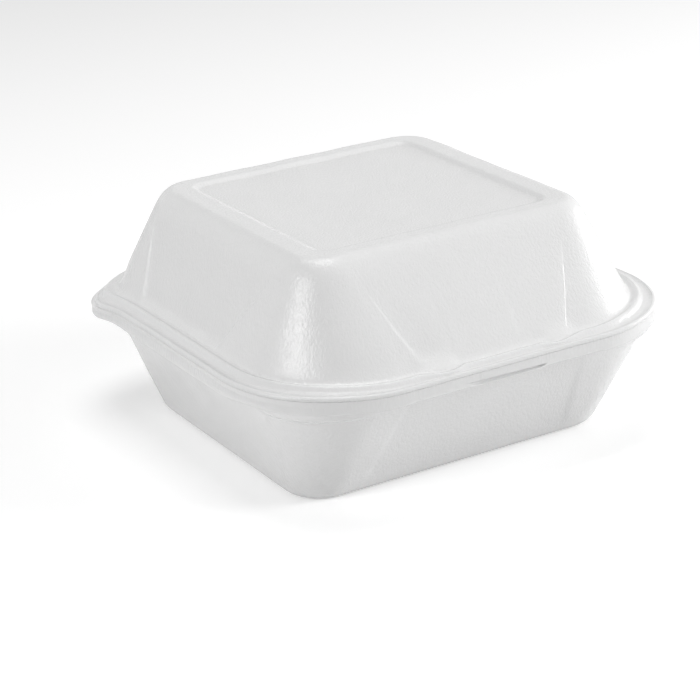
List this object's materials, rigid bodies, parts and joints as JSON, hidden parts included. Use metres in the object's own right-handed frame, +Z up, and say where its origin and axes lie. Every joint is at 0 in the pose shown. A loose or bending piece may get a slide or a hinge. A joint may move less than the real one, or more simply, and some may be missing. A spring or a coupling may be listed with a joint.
{
  "type": "foam clamshell food container",
  "caption": "Square hinged foam food box with sloping walls, beaded rims, sunk lid panels and a raised border on the lid.",
  "frame": {"origin": "centre of the flat underside of the base", "axes": "+Z up, +X along the hinge, -Y towards the latch at the front"},
  "size_m": [0.148, 0.1556, 0.0751],
  "materials": {
    "foam": "satin white foam"
  },
  "bodies": {
    "base": {"base": "foam", "hinge": "foam"},
    "lid": {"lid": "foam"}
  },
  "joints": [
    {"name": "lid_hinge", "type": "hinge", "parent": "base", "child": "lid", "pos_m": [0, 0.0753, 0.04165], "axis": [-1, 0, 0], "range_deg": [0, 180], "deforming": ["hinge"]}
  ]
}
